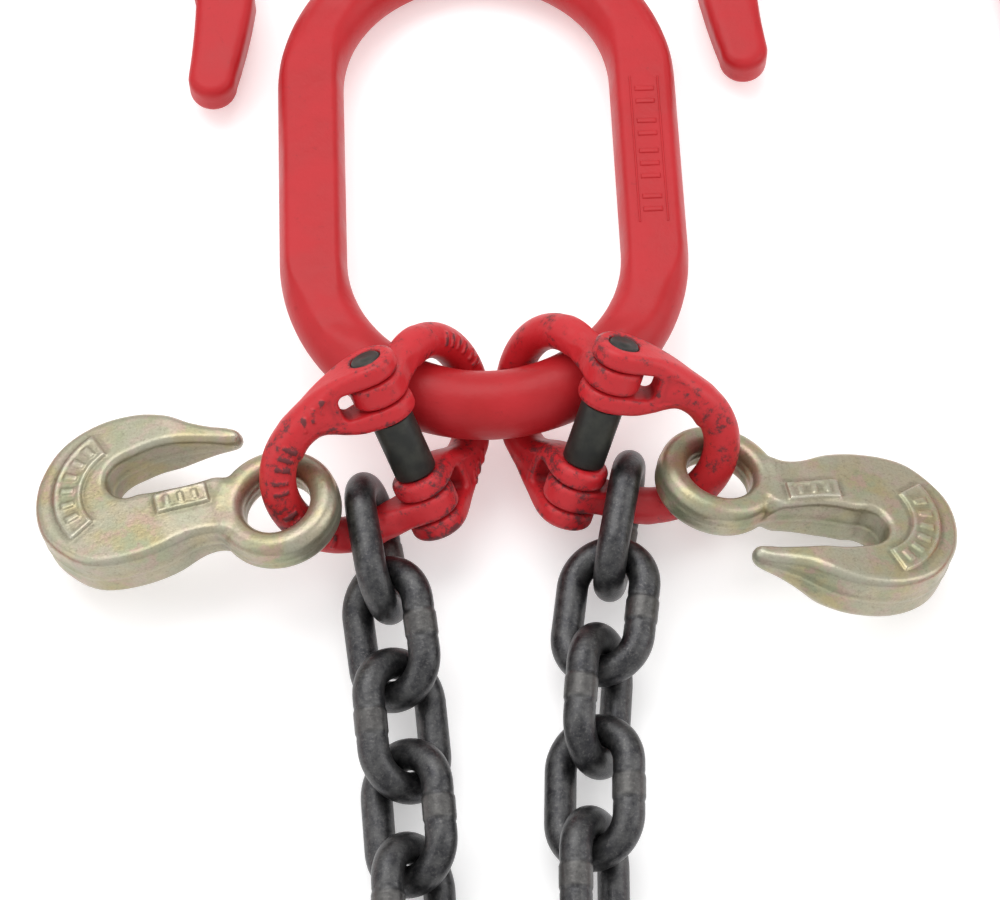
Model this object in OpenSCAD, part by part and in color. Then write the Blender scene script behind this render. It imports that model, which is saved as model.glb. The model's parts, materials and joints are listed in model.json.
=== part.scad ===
// V-bridle tow chain: a master link, two coupling links, two grab hooks,
// two chain legs and two J-hooks, lying on the floor plane z = 0.
// Millimetres. The origin is the centre of the master link's eye, on the floor.

/* [Master link] */
// Inside length of the master link's eye (mm)
eye_length = 154; // [146:1:164]
// Inside width of the master link's eye (mm)
eye_width = 89; // [86:1:96]
// Diameter of the master link's round stock (mm)
master_stock = 22; // [20:0.5:23]
// How far each broad side of the master link is pressed flat (mm)
pressed_flat = 1.2; // [0.6:0.1:2]

/* [Coupling links] */
// Diameter of a coupling half's stock at its crown (mm)
coupling_stock = 11.5; // [11:0.25:12]
// Distance from the load pin's axis to the inside of a crown (mm)
coupling_reach = 36; // [35:0.5:39]
// Diameter of the load pin (mm)
pin_diameter = 10; // [9:0.5:11]
// Outside diameter of the sleeve on the load pin (mm)
sleeve_diameter = 13.5; // [13:0.5:15]
// Length of the sleeve between the lugs (mm)
sleeve_length = 21; // [20:0.5:22]
// Thickness of each lug of a fork (mm)
fork_lug = 6.5; // [6:0.5:7]
// Thickness of the single lug inside a fork (mm)
single_lug = 8; // [7:0.5:9]
// Radius of a lug round the pin (mm)
lug_radius = 9; // [8.5:0.25:9.5]

/* [Chain legs] */
// Diameter of the chain's wire (mm)
chain_wire = 10; // [9:0.25:10.25]
// Inside length of a chain link (mm)
link_length = 30; // [29.5:0.25:32]
// Inside width of a chain link (mm)
link_width = 14; // [13.5:0.25:15]
// Extra radius of the weld on one bar of a link (mm)
weld_height = 0.4; // [0.2:0.1:0.6]

/* [Grab hooks] */
// Thickness of a grab hook's plate (mm)
hook_thickness = 18; // [16:0.5:19]
// Diameter of the hole in a grab hook's eye (mm)
hook_hole = 21.5; // [21:0.25:22]
// Width of a grab hook's slot at its root (mm)
slot_width = 14; // [13:0.5:15]

/* [J-hooks] */
// Length of a J-hook from its eye to the inside of its bend (mm)
j_length = 381; // [370:1:395]
// Width of a J-hook's throat (mm)
j_throat = 80; // [72:1:84]
// Diameter of a J-hook's shank (mm)
j_stock = 20; // [18:0.5:21]

/* [Fits] */
// Clearance left between two curved faces that bear on each other (mm)
seat_gap = 0.3; // [0.3:0.05:0.4]
// Radial clearance of a load pin in its lugs and sleeve (mm)
pin_clearance = 0.05; // [0.03:0.01:0.08]

/* [Hidden] */

paint_red = "#c5202d";
chain_grey = "#55555a";
zinc_yellow = "#b9b08a";
pin_black = "#2b2c30";

// vectors and frames
up = [0, 0, 1];
function unit(v) = v / norm(v);
function flatten_to(v, n) = unit(v - (v * n) * n);
function heading(yaw, pitch) = [cos(pitch) * cos(yaw), cos(pitch) * sin(yaw), sin(pitch)];
function side_of(u) = unit(cross(up, u));
function rolled(u, roll) = cos(roll) * side_of(u) + sin(roll) * cross(u, side_of(u));

// master link
m_r = master_stock / 2;
m_crown = eye_width / 2 + m_r;
m_straight = (eye_length - eye_width) / 2;
m_half = m_straight + m_crown;
m_turn = 2.3;
near_lift = 20.5;
m_tilt = asin(near_lift / (2 * m_half));
m_far = [-sin(m_turn) * cos(m_tilt), cos(m_turn) * cos(m_tilt), -sin(m_tilt)];
m_side = [cos(m_turn), sin(m_turn), 0];
m_up = cross(m_side, m_far);
m_centre = [0, 0, m_r + near_lift / 2];
function near_bar(a) = m_centre - (m_straight + m_crown * cos(a)) * m_far
                       + m_crown * sin(a) * m_side;

// coupling links
c_r = coupling_stock / 2;
crown_r = sleeve_length / 2 + seat_gap + fork_lug + seat_gap + single_lug / 2;
crown_x = coupling_reach + c_r - crown_r;
fork_in = sleeve_length / 2 + seat_gap;
slot_in = fork_in + fork_lug;
slot_wide = single_lug + 2 * seat_gap;
fork_out = slot_in + slot_wide + fork_lug;
bar_angle = [-18, 21.5];
bar_play = [2.0, 2.8];
bar_side = -1.25;
pin_dir = [unit([-0.361, 0.58, 0.73]), unit([0.289, 0.605, 0.74])];
chain_dir = [flatten_to([-0.9, -0.4275, -0.105], pin_dir[0]),
             flatten_to([0.955, -0.1257, -0.269], pin_dir[1])];
master_dir = [flatten_to([0.46, 0.8, -0.4], pin_dir[0]),
              flatten_to([-0.56, 0.74, -0.36], pin_dir[1])];
pin_mid = [for (s = [0, 1])
  near_bar(bar_angle[s]) - (coupling_reach - m_r - seat_gap - bar_play[s]) * master_dir[s]
  + bar_side * pin_dir[s]];
function loop_at(s, a) = pin_mid[s] + (crown_x + crown_r * cos(a)) * chain_dir[s]
                         - crown_r * sin(a) * pin_dir[s];
function loop_along(s, a) = sin(a) * chain_dir[s] + cos(a) * pin_dir[s];

// chain legs: heading, pitch, roll and slack of every link
w_r = chain_wire / 2;
l_crown = link_width / 2 + w_r;
l_straight = (link_length - link_width) / 2;
arm_from_crown = [-4.0, -2.4];
arm_side = [47.2, -49.5];
leg_plan = [
  [[-79.9, -3.4, 105.5, 1.45], [-82, -5, 38, 1.15], [-84, -4, -38, 0.25], [-85, -1, 38, 0.25],
   [-87, 0, -50, 0.05], [-108.5, 0, 43, 0.05], [-127.5, 0, -44, 0.05], [-143.4, 0, 50, 0.05],
   [-157.4, 0, -36, 0.05], [-171.7, 0, 58, 0.05], [-188.6, 0, -27, 0.05], [-209.8, 0, 68, 0.05],
   [-236.2, 0, -14, 0.05], [-266.2, 0, 80, 0.05]],
  [[-100.4, 0, 92.5, 0.55], [-97, 0, 20, 0.45], [-94, 0, -62, 0.05], [-91, 0, 30, 0.05],
   [-90, 0, -60, 0.05], [-67.1, 1, 32, 0.05], [-47.3, 1, -56, 0.05], [-31.4, 1, 38, 0.05],
   [-18, 1, -48, 0.05], [-4.8, 1, 48, 0.05], [11.1, 1, -37, 0.05], [31.7, 1, 60, 0.05],
   [58.3, 1, -22, 0.05], [89, 1, 78, 0.05]]];
links = len(leg_plan[0]);
function link_u(s, i) = heading(leg_plan[s][i][0], leg_plan[s][i][1]);
function link_n(s, i) = cross(link_u(s, i), rolled(link_u(s, i), leg_plan[s][i][2]));
function meet(a_n, b_n, u) = let (c = unit(cross(a_n, b_n))) c * u < 0 ? -c : c;
function first_seat(s) = let (n = cross(chain_dir[s], pin_dir[s]))
  pin_mid[s] + (crown_x + arm_from_crown[s]) * chain_dir[s] - crown_r * pin_dir[s]
  + (c_r + w_r + seat_gap + leg_plan[s][0][3])
  * (cos(arm_side[s]) * pin_dir[s] + sin(arm_side[s]) * n);
function link_c(s, i) = i == 0
  ? first_seat(s) + (l_straight + l_crown) * link_u(s, 0)
  : let (c = meet(link_n(s, i - 1), link_n(s, i), link_u(s, i)))
    link_c(s, i - 1) + l_straight * (link_u(s, i - 1) + link_u(s, i))
    + (2 * l_crown - 2 * w_r - seat_gap - leg_plan[s][i][3]) * c;

// J-hooks
j_r = j_stock / 2;
j_bend = j_throat / 2 + j_r;
j_run = j_length - j_throat / 2;
j_eye = 16;
j_eye_r = 5.75;
j_u = [heading(88, -1.05), heading(96, -1)];
j_n = [flatten_to(up, j_u[0]), flatten_to(-up, j_u[1])];
j_play = 0.2;
function j_c(s) = let (c = meet(link_n(s, links - 1), j_n[s], j_u[s]))
  link_c(s, links - 1) + l_straight * link_u(s, links - 1)
  + (l_crown + j_eye - w_r - j_eye_r - seat_gap - j_play) * c;

// grab hooks
h_out = 19.6;
hook_yaw = [160.63, -29.1];
hook_pitch = [-13.73, -2.2];
hook_roll = [6.48, -24.13];
hook_seat = [[8.76, -0.2, -1.96], [7.33, -5.32, 1.76]];
hook_out = [unit([-0.888, -0.405, -0.217]), unit([0.958, -0.196, -0.211])];
hook_u = [for (s = [0, 1]) heading(hook_yaw[s], hook_pitch[s])];
hook_v = [for (s = [0, 1]) rolled(hook_u[s], hook_roll[s])];
hook_at = [for (s = [0, 1])
  pin_mid[s] + (crown_x + hook_seat[s][0]) * chain_dir[s] + hook_seat[s][1] * pin_dir[s]
  + hook_seat[s][2] * cross(chain_dir[s], pin_dir[s])
  + (h_out + hook_hole / 2) / 2 * hook_out[s]];

module place(c, u, n) {
  w = cross(n, u);
  multmatrix([[u[0], w[0], n[0], c[0]],
              [u[1], w[1], n[1], c[1]],
              [u[2], w[2], n[2], c[2]],
              [0, 0, 0, 1]])
    children();
}

// one half of an oval ring: a bent end and half of each straight bar
module oval_half(bend, straight, r, f) {
  translate([straight, 0, 0])
    rotate([0, 0, -90])
      rotate_extrude(angle = 180, $fn = f)
        translate([bend, 0])
          circle(r = r, $fn = 40);
  for (y = [-bend, bend])
    translate([-0.01, y, 0])
      rotate([0, 90, 0])
        cylinder(r = r, h = straight + 0.01, $fn = 40);
}

module master_link() {
  color(paint_red)
    place(m_centre, m_far, m_up)
      difference() {
        union() {
          oval_half(m_crown, m_straight, m_r, 120);
          rotate([0, 0, 180])
            oval_half(m_crown, m_straight, m_r, 120);
        }
        for (z = [m_r - pressed_flat, -m_r - 1])
          translate([-m_straight - m_crown * 0.62, -m_crown - m_r - 1, z])
            cube([2 * m_straight + m_crown * 1.24, 2 * (m_crown + m_r) + 2, pressed_flat + 1]);
      }
}

// a coupling half: x to its crown, y to its fork
module coupling_half() {
  fork_lean = 8;
  slot_end = lug_radius + 4.5;
  slot_corner = 2;
  difference() {
    union() {
      translate([crown_x, 0, 0])
        rotate([0, 0, -90])
          rotate_extrude(angle = 180, $fn = 96)
            translate([crown_r, 0])
              circle(r = c_r, $fn = 40);
      // flattened arm to the single lug
      translate([0, -crown_r - single_lug / 2, 0])
        rotate([-90, 0, 0])
          cylinder(r = lug_radius, h = single_lug, $fn = 72);
      hull() {
        translate([0, -crown_r, 0])
          cube([lug_radius * 1.9, single_lug, lug_radius * 1.5], center = true);
        translate([lug_radius + 0.6, -crown_r, 0])
          scale([1, (single_lug / 2 - 0.4) / c_r, 1])
            rotate([0, 90, 0])
              cylinder(r = c_r - 0.4, h = 0.5, $fn = 32);
      }
      hull() {
        translate([lug_radius + 0.6, -crown_r, 0])
          scale([1, (single_lug / 2 + 0.4) / c_r, 1])
            rotate([0, 90, 0])
              cylinder(r = c_r, h = 0.5, $fn = 32);
        translate([crown_x, -crown_r, 0])
          rotate([0, 90, 0])
            cylinder(r = c_r, h = 0.2, $fn = 40);
      }
      // web that widens from the crown to the fork
      translate([0, fork_in, 0])
        rotate([-90, 0, 0])
          cylinder(r = lug_radius, h = fork_out - fork_in, $fn = 72);
      hull() {
        translate([0, fork_in, -lug_radius * 0.8])
          cube([lug_radius, fork_out - fork_in, lug_radius * 1.6]);
        translate([crown_x, 0, 0])
          rotate([0, 0, -fork_lean])
            translate([0, crown_r, 0])
              rotate([0, 90, 0])
                cylinder(r = c_r + 0.25, h = 0.2, $fn = 40);
      }
    }
    // slot for the other half's single lug
    translate([0, 0, -lug_radius - 3])
      linear_extrude(2 * lug_radius + 6)
        polygon([[-lug_radius - 3, slot_in], [slot_end - slot_corner, slot_in],
                 [slot_end, slot_in + slot_corner], [slot_end, slot_in + slot_wide - slot_corner],
                 [slot_end - slot_corner, slot_in + slot_wide],
                 [-lug_radius - 3, slot_in + slot_wide]]);
    // pin bores
    translate([0, -fork_out - 2, 0])
      rotate([-90, 0, 0])
        cylinder(r = pin_diameter / 2 + pin_clearance, h = 2 * fork_out + 4, $fn = 72);
  }
}

module load_pin() {
  rotate([-90, 0, 0]) {
    translate([0, 0, -fork_out + 0.8])
      cylinder(r = pin_diameter / 2, h = 2 * fork_out - 1.6, $fn = 72);
    for (e = [0, 1])
      mirror([0, 0, e])
        translate([0, 0, fork_out - 0.8])
          cylinder(r1 = pin_diameter / 2, r2 = pin_diameter / 2 - 0.8, h = 0.8, $fn = 72);
  }
}

module sleeve() {
  rotate([-90, 0, 0])
    difference() {
      translate([0, 0, -sleeve_length / 2])
        cylinder(r = sleeve_diameter / 2, h = sleeve_length, $fn = 72);
      translate([0, 0, -sleeve_length / 2 - 1])
        cylinder(r = pin_diameter / 2 + pin_clearance, h = sleeve_length + 2, $fn = 72);
    }
}

module chain_half(s) {
  color(paint_red)
    place(pin_mid[s], chain_dir[s], cross(chain_dir[s], pin_dir[s]))
      coupling_half();
}

module master_half(s) {
  color(paint_red)
    place(pin_mid[s], master_dir[s], cross(master_dir[s], -pin_dir[s]))
      coupling_half();
}

module pin_at(s) {
  color(pin_black)
    place(pin_mid[s], chain_dir[s], cross(chain_dir[s], pin_dir[s]))
      load_pin();
}

module sleeve_at(s) {
  color(pin_black)
    place(pin_mid[s], chain_dir[s], cross(chain_dir[s], pin_dir[s]))
      sleeve();
}

// rounded bar section for ring and disc edges
module soft_section(x0, x1, t, r) {
  translate([x0 + r, -t / 2])
    square([x1 - x0 - 2 * r, t]);
  translate([x0, -t / 2 + r])
    square([x1 - x0, t - 2 * r]);
  for (x = [x0 + r, x1 - r], y = [-t / 2 + r, t / 2 - r])
    translate([x, y])
      circle(r = r, $fn = 32);
}

// a grab hook: eye at the origin, bowl towards x, tip towards -y
module grab_hook() {
  t = hook_thickness;
  bowl = [47, 9.6];
  slot_turn = 37;
  root = [48.6, 5.6];
  difference() {
    union() {
      rotate_extrude($fn = 96)
        soft_section(hook_hole / 2, h_out, t - 5, 4.1);
      translate([bowl[0], bowl[1], 0])
        rotate_extrude($fn = 120)
          union() {
            translate([0, -t / 2])
              square([25.5, t]);
            translate([0, -t / 2 + 4])
              square([29.5, t - 8]);
            for (y = [-t / 2 + 4, t / 2 - 4])
              translate([25.5, y])
                circle(r = 4, $fn = 32);
          }
      translate([0, 0, -t / 2 + 1])
        linear_extrude(t - 2)
          polygon([[10, -12.4], [13, -13.4], [21, -8], [32, 0.5], [47, 9], [42, 34], [33, 31.5],
                   [26, 26], [20, 20.2], [16.5, 17.4], [10.8, 15], [9.6, 12.8], [14.6, 6.8],
                   [16, 0], [14.4, -7]]);
      // tip
      intersection() {
        translate([0, 0, -t / 2])
          linear_extrude(t)
            polygon([[50, -12], [46, -16], [38, -19.4], [33, -20.1], [28, -21.8], [25.3, -22],
                     [23.7, -21], [23.9, -19.4], [25.6, -18.2], [37, -12.2],
                     [46, -7.4], [58, -2]]);
        translate([52, -10, 0])
          rotate([0, 0, 24])
            rotate([90, 0, 0])
              linear_extrude(60, center = true)
                polygon([[6, -t / 2], [6, t / 2], [-6, t / 2], [-32, 3.6], [-34, 2.4],
                         [-34, -2.4], [-32, -3.6], [-6, -t / 2]]);
      }
    }
    translate([root[0], root[1], -t])
      cylinder(r = slot_width / 2, h = 2 * t, $fn = 72);
    translate([root[0], root[1], -t])
      rotate([0, 0, 180 + slot_turn])
        linear_extrude(2 * t)
          polygon([[0, 0.5 - slot_width / 2], [60, 1 - slot_width / 2], [60, slot_width / 2 - 0.2],
                   [24, slot_width / 2 - 1.6], [0, slot_width / 2 - 0.5]]);
  }
  // raised pads on the upper face
  translate([bowl[0] - 1, bowl[1] - 0.6, t / 2 - 0.4])
    rotate([0, 0, -36])
      rotate_extrude(angle = 104, $fn = 96)
        translate([16.5, 0])
          square([8, 1.2]);
  translate([28.4, 8.3, t / 2 - 1.4])
    rotate([0, 0, 36])
      translate([-8.4, -3.6, 0])
        cube([16.8, 7.2, 1.6]);
}

module hook_node(s) {
  color(zinc_yellow)
    place(hook_at[s], hook_u[s], cross(hook_u[s], hook_v[s]))
      grab_hook();
}

module chain_link(weld) {
  oval_half(l_crown, l_straight, w_r, 72);
  rotate([0, 0, 180])
    oval_half(l_crown, l_straight, w_r, 72);
  translate([-4, weld * l_crown, 0])
    rotate([0, 90, 0])
      cylinder(r = w_r + weld_height, h = 8, $fn = 40);
}

module leg_link(s, i) {
  color(chain_grey)
    place(link_c(s, i), link_u(s, i), link_n(s, i))
      chain_link(i % 2 == 0 ? 1 : -1);
}

// a J-hook: eye at the origin, shank towards x, throat towards -y
module j_hook() {
  difference() {
    union() {
      rotate_extrude($fn = 96)
        translate([j_eye, 0])
          circle(r = j_eye_r, $fn = 40);
      translate([j_eye + 1, 0, 0])
        rotate([0, 90, 0])
          cylinder(r1 = j_eye_r + 1, r2 = j_r, h = 34, $fn = 64);
      translate([j_eye + 34, 0, 0])
        rotate([0, 90, 0])
          cylinder(r = j_r, h = j_run - j_eye - 34, $fn = 64);
      translate([j_run, -j_bend, 0])
        rotate([0, 0, -90])
          rotate_extrude(angle = 180, $fn = 120)
            translate([j_bend, 0])
              circle(r = j_r, $fn = 64);
      translate([j_run, -2 * j_bend, 0])
        rotate([0, -90, 0])
          cylinder(r1 = j_r, r2 = j_r * 0.78, h = 33, $fn = 64);
      translate([j_run - 33, -2 * j_bend, 0])
        sphere(r = j_r * 0.78, $fn = 64);
    }
    translate([0, 0, -20])
      cylinder(r = j_eye - j_eye_r - 0.01, h = 40, $fn = 96);
  }
}

module j_node(s) {
  color(paint_red)
    place(j_c(s), j_u[s], j_n[s])
      j_hook();
}

module left_master_half() { master_half(0); }
module left_chain_half() { chain_half(0); }
module left_load_pin() { pin_at(0); }
module left_sleeve() { sleeve_at(0); }
module right_master_half() { master_half(1); }
module right_chain_half() { chain_half(1); }
module right_load_pin() { pin_at(1); }
module right_sleeve() { sleeve_at(1); }
module left_grab_hook() { hook_node(0); }
module right_grab_hook() { hook_node(1); }
module left_j_hook() { j_node(0); }
module right_j_hook() { j_node(1); }
module left_link_01() { leg_link(0, 0); }
module left_link_02() { leg_link(0, 1); }
module left_link_03() { leg_link(0, 2); }
module left_link_04() { leg_link(0, 3); }
module left_link_05() { leg_link(0, 4); }
module left_link_06() { leg_link(0, 5); }
module left_link_07() { leg_link(0, 6); }
module left_link_08() { leg_link(0, 7); }
module left_link_09() { leg_link(0, 8); }
module left_link_10() { leg_link(0, 9); }
module left_link_11() { leg_link(0, 10); }
module left_link_12() { leg_link(0, 11); }
module left_link_13() { leg_link(0, 12); }
module left_link_14() { leg_link(0, 13); }
module right_link_01() { leg_link(1, 0); }
module right_link_02() { leg_link(1, 1); }
module right_link_03() { leg_link(1, 2); }
module right_link_04() { leg_link(1, 3); }
module right_link_05() { leg_link(1, 4); }
module right_link_06() { leg_link(1, 5); }
module right_link_07() { leg_link(1, 6); }
module right_link_08() { leg_link(1, 7); }
module right_link_09() { leg_link(1, 8); }
module right_link_10() { leg_link(1, 9); }
module right_link_11() { leg_link(1, 10); }
module right_link_12() { leg_link(1, 11); }
module right_link_13() { leg_link(1, 12); }
module right_link_14() { leg_link(1, 13); }

master_link();
left_master_half();
left_chain_half();
left_load_pin();
left_sleeve();
right_master_half();
right_chain_half();
right_load_pin();
right_sleeve();
left_grab_hook();
right_grab_hook();
left_link_01();
left_link_02();
left_link_03();
left_link_04();
left_link_05();
left_link_06();
left_link_07();
left_link_08();
left_link_09();
left_link_10();
left_link_11();
left_link_12();
left_link_13();
left_link_14();
right_link_01();
right_link_02();
right_link_03();
right_link_04();
right_link_05();
right_link_06();
right_link_07();
right_link_08();
right_link_09();
right_link_10();
right_link_11();
right_link_12();
right_link_13();
right_link_14();
left_j_hook();
right_j_hook();
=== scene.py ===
"""Looks of a v-bridle tow chain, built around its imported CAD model.

Lengths inside the piece builders are millimetres in a piece's own frame;
every finished mesh is in metres, in the frame of the CAD model.
"""

import json
import math

import bmesh
import bpy
import numpy as np
from bpy.props import FloatProperty, FloatVectorProperty, PointerProperty
from mathutils import Matrix, Vector


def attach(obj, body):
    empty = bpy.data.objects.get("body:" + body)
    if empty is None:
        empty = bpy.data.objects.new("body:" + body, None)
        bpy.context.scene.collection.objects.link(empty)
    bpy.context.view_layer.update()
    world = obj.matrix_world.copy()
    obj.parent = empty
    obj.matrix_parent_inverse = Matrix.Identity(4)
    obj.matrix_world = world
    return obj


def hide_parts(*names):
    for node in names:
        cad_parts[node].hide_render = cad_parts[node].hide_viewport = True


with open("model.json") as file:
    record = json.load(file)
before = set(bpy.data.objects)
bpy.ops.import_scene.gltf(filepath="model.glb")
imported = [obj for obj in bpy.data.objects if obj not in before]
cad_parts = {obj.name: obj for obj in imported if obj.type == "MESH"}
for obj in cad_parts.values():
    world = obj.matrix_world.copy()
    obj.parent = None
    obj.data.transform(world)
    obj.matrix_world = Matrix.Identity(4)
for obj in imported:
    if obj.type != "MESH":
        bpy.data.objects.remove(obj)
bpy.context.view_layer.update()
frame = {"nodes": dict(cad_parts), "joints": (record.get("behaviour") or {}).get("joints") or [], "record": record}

bl_info = {
    "name": "V-bridle tow chain",
    "version": (1, 0, 0),
    "blender": (4, 5, 0),
    "location": "3D View > Sidebar > Bridle",
    "description": "Dresses the packed model of a v-bridle tow chain",
    "category": "Object",
}

MM = 0.001
SIDES = ("left", "right")
JOINTS = {j["name"]: j for j in frame["joints"]}
MOUNTS = {m["name"]: m for m in frame["record"]["mounts"]}

# sizes that follow the solids, in mm
MASTER_LENGTH, MASTER_WIDTH, MASTER_STOCK = 154.0, 89.0, 22.0
PIN_R, SLEEVE_R, SLEEVE_HALF = 5.0, 6.75, 10.5
# a coupling half: its fork's two lugs and the slot between them, its crown, lugs and bore
FORK_IN, FORK_LUG, SLOT_WIDE, SLOT_END = 10.8, 6.5, 8.6, 13.5
FORK_OUT = FORK_IN + 2 * FORK_LUG + SLOT_WIDE
CROWN_R, CROWN_X, CROWN_STOCK_R = 21.6, 20.15, 5.75
LUG_R, BORE_R = 9.0, 5.05
# a chain link: half its straight bar, its crown's radius and its wire's
LINK_STRAIGHT, LINK_CROWN, WIRE_R = 8.0, 12.0, 5.0
# a J-hook: eye to bend, radius of bend, stock, eye and eye's stock, length of its taper
J_RUN, J_BEND, J_R, J_EYE, J_EYE_R, J_TIP = 341.0, 50.0, 10.0, 16.0, 5.75, 33.0
# a grab hook: its eye's radii and half thickness, its slot's root, its half thicknesses
RING_IN, RING_OUT, RING_HALF = 10.75, 19.6, 6.5
SLOT_ROOT = (48.6, 5.6)
HOOK_HALF, NECK_HALF, POINT_HALF = 9.0, 7.0, 4.0


# colours, nodes and materials

# what is laid over each finish's own colour
ENAMEL_LIGHT, ENAMEL_SPECK, ENAMEL_SMEAR = "#c42a32", "#7c151b", "#5a1519"
# the enamel's dark hollow colour is painted shade, laid into the hollows of the worn forgings
BARE_SCALE, ENAMEL_HOLLOW_SHADE = "#3a282b", "#6d141b"
CHAIN_CLOUD, CHAIN_RUB, CHAIN_WELD = "#565656", "#8a8784", "#85817a"
ZINC_STRAW, ZINC_GREEN, ZINC_ROSE = "#a89c76", "#999d80", "#b3928a"
# the zinc's soot colour is used for dark specks and for painted shade in the hollows; its rim colour is a painted
# highlight on the rounded edges
ZINC_SOOT_AND_SHADE, ZINC_GRAIN, ZINC_PAINTED_HIGHLIGHT = "#4e4233", "#746e5c", "#d2cec4"
OXIDE_CLOUD = "#3a3b36"


def linear(hex_colour):
    """An sRGB hex colour as linear red, green, blue and alpha."""
    parts = [int(hex_colour[i:i + 2], 16) / 255 for i in (1, 3, 5)]
    return [c / 12.92 if c <= 0.04045 else ((c + 0.055) / 1.055) ** 2.4 for c in parts] + [1.0]


def add(tree, kind, inputs=None, **settings):
    """Adds a node; inputs maps a socket's name or number to a value or to another socket."""
    node = tree.nodes.new(kind)
    for key, value in settings.items():
        setattr(node, key, value)
    for key, value in (inputs or {}).items():
        if isinstance(value, bpy.types.NodeSocket):
            tree.links.new(value, node.inputs[key])
        else:
            node.inputs[key].default_value = value
    return node


def start_material(name):
    """An empty material with a shader, and its Object coordinates in metres."""
    made = bpy.data.materials.new(name)
    made.use_nodes = True
    tree = made.node_tree
    tree.nodes.clear()
    shader = add(tree, "ShaderNodeBsdfPrincipled")
    add(tree, "ShaderNodeOutputMaterial", {"Surface": shader.outputs[0]})
    where = add(tree, "ShaderNodeTexCoord").outputs["Object"]
    return made, tree, shader, where


def noise(tree, where, size_mm, detail=3.0, rough=0.5):
    """Noise with features about size_mm across."""
    return add(tree, "ShaderNodeTexNoise", {
        "Vector": where, "Scale": 1000.0 / size_mm, "Detail": detail, "Roughness": rough,
    }).outputs["Fac"]


def between(tree, value, low, high, to_low=0.0, to_high=1.0):
    """Maps a value from one range to another with soft ends."""
    return add(tree, "ShaderNodeMapRange", {
        "Value": value, "From Min": low, "From Max": high, "To Min": to_low, "To Max": to_high,
    }, interpolation_type="SMOOTHSTEP").outputs["Result"]


def mixed(tree, factor, first, second):
    """Mixes two colours, each a hex value or a socket."""
    first = linear(first) if isinstance(first, str) else first
    second = linear(second) if isinstance(second, str) else second
    return add(tree, "ShaderNodeMix", {0: factor, 6: first, 7: second}, data_type="RGBA").outputs[2]


def maths(tree, operation, *values):
    """The result of a math node on these values or sockets."""
    return add(tree, "ShaderNodeMath", dict(enumerate(values)), operation=operation).outputs[0]


def times(tree, first, second):
    return maths(tree, "MULTIPLY", first, second)


def plus(tree, first, second):
    return maths(tree, "ADD", first, second)


def laid_over(tree, base, colour, mask, strength):
    """A base colour with another laid over it where the mask is on."""
    return mixed(tree, times(tree, mask, strength), base, colour)


def bump(tree, shader, height, depth_mm, strength):
    """Links a bump of the given depth to the shader's normal."""
    bumped = add(tree, "ShaderNodeBump", {
        "Height": height, "Distance": depth_mm * MM, "Strength": strength})
    tree.links.new(bumped.outputs[0], shader.inputs["Normal"])


def attribute(tree, name):
    return add(tree, "ShaderNodeAttribute", attribute_name=name).outputs["Fac"]


def make_red_enamel(name, colour, chips=False):
    """Baked enamel on forged steel: a soft sheen; where it has chips, dark scale shows and painted shade darkens
    its hollows.
    """
    made, tree, shader, where = start_material(name)
    cloud = between(tree, noise(tree, where, 14, 4), 0.3, 0.7)
    red = laid_over(tree, colour, ENAMEL_LIGHT, cloud, 0.35)
    speck = between(tree, noise(tree, where, 3.2, 5, 0.65), 0.6, 0.72)
    red = laid_over(tree, red, ENAMEL_SPECK, speck, 0.3)
    rough = between(tree, cloud, 0.0, 1.0, 0.36, 0.46)
    if chips:
        worn = plus(tree, noise(tree, where, 2.3, 7, 0.75),
                    times(tree, attribute(tree, "wear"), 0.2))
        patches = between(tree, noise(tree, where, 13, 3), 0.4, 0.62, -0.06, 0.07)
        worn = plus(tree, worn, patches)
        red = laid_over(tree, red, ENAMEL_SMEAR, between(tree, worn, 0.52, 0.7), 0.3)
        bare = between(tree, worn, 0.6, 0.72)
        red = laid_over(tree, red, BARE_SCALE, bare, 0.75)
        # painted shade: the enamel is darkened in the hollows
        red = laid_over(tree, red, ENAMEL_HOLLOW_SHADE, attribute(tree, "hollow_shade"), 0.55)
        rough = plus(tree, rough, times(tree, bare, 0.14))
    tree.links.new(red, shader.inputs["Base Color"])
    tree.links.new(rough, shader.inputs["Roughness"])
    shader.inputs["IOR"].default_value = 1.5
    shader.inputs["Specular IOR Level"].default_value = 0.38 if chips else 0.28
    skin = plus(tree, times(tree, noise(tree, where, 5.5, 3), 0.8),
                times(tree, noise(tree, where, 1.1, 2), 0.2))
    bump(tree, shader, skin, 0.35 if chips else 0.3, 0.8)
    return made


def make_worn_enamel(name, colour):
    return make_red_enamel(name, colour, chips=True)


def make_chain_steel(name, colour):
    """Heat-treated chain, self-coloured: dark grey scale, oiled, brighter on the welds."""
    made, tree, shader, where = start_material(name)
    cloud = between(tree, noise(tree, where, 4.5, 6, 0.7), 0.3, 0.7)
    grey = mixed(tree, cloud, colour, CHAIN_CLOUD)
    rub = between(tree, noise(tree, where, 0.9, 4, 0.7), 0.5, 0.74)
    grey = laid_over(tree, grey, CHAIN_RUB, rub, 0.3)
    grey = laid_over(tree, grey, CHAIN_WELD, attribute(tree, "weld"), 0.16)
    tree.links.new(grey, shader.inputs["Base Color"])
    shader.inputs["Metallic"].default_value = 0.85
    tree.links.new(between(tree, cloud, 0.0, 1.0, 0.3, 0.42), shader.inputs["Roughness"])
    skin = plus(tree, noise(tree, where, 1.0, 4, 0.65), times(tree, noise(tree, where, 6, 2), 0.6))
    bump(tree, shader, skin, 0.16, 0.7)
    return made


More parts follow.
